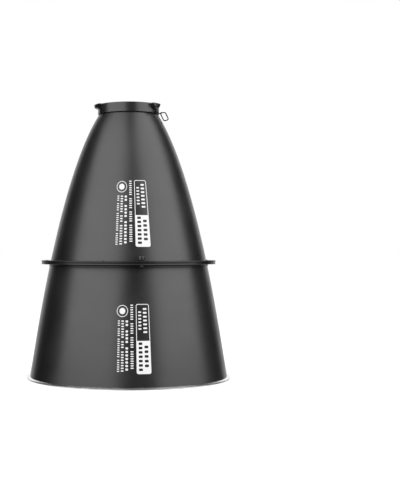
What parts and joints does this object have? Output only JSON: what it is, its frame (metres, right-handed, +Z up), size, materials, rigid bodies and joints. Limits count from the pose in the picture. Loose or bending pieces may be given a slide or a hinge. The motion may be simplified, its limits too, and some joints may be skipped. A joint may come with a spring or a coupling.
{
  "type": "two-section bell reflector",
  "caption": "Long-throw bell reflector for a studio light, with a bayonet collar, a twist-on extension bell, a clamp knob and a bright mouth rim.",
  "frame": {"origin": "centre of the mouth plane, on the surface that the reflector stands on", "axes": "+Z up along the bell's axis, from the mouth to the mount collar; -Y is the front, with the clamp knob a little towards +X; the safety ring hangs at +X"},
  "size_m": [0.5436, 0.5436, 0.731],
  "materials": {
    "bell_coat": "satin black powder coat outside, bright brushed inside",
    "rim_bright": "bright bare",
    "ring_coat": "satin black",
    "collar_coat": "satin black",
    "rivet_steel": "blackened",
    "stud_steel": "blackened",
    "knob_black": "black anodised, knurled",
    "insert_brass": "turned",
    "wire_steel": "blackened spring wire"
  },
  "bodies": {
    "extension": {"extension_shell": "bell_coat", "mouth_rim_ring": "rim_bright", "extension_flange_ring": "ring_coat", "extension_flange_rivets": "rivet_steel"},
    "narrow_section": {"narrow_shell": "bell_coat", "narrow_flange_ring": "ring_coat", "narrow_flange_rivets": "rivet_steel", "locking_studs": "stud_steel", "clamp_stud": "stud_steel", "stud_clip": "stud_steel", "mount_collar": "collar_coat", "collar_clamp_ring": "collar_coat", "collar_screws": "rivet_steel", "safety_eye": "collar_coat"},
    "knob_washer": {"clamp_washer": "stud_steel"},
    "clamp_knob": {"clamp_knob": "knob_black", "knob_insert": "insert_brass"},
    "safety_ring": {"safety_ring": "wire_steel"}
  },
  "joints": [
    {"name": "section_twist", "type": "hinge", "parent": "extension", "child": "narrow_section", "pos_m": [0, 0, 0.3085], "axis": [0, 0, 1], "range_deg": [0, 14]},
    {"name": "knob_rise", "type": "slide", "parent": "narrow_section", "child": "knob_washer", "axis": [0, 0, 1], "range_m": [0, 0.001]},
    {"name": "knob_turn", "type": "hinge", "parent": "knob_washer", "child": "clamp_knob", "pos_m": [0.03228, -0.21863, 0.3157], "axis": [0, 0, 1], "range_deg": [0, 360]},
    {"name": "ring_swing", "type": "hinge", "parent": "narrow_section", "child": "safety_ring", "pos_m": [0.0889, 0, 0.71], "axis": [0, -1, 0], "range_deg": [0, 75]}
  ],
  "couplings": [
    {"joint": "knob_turn", "follows": "knob_rise", "rad_per_m": 6283.2}
  ]
}
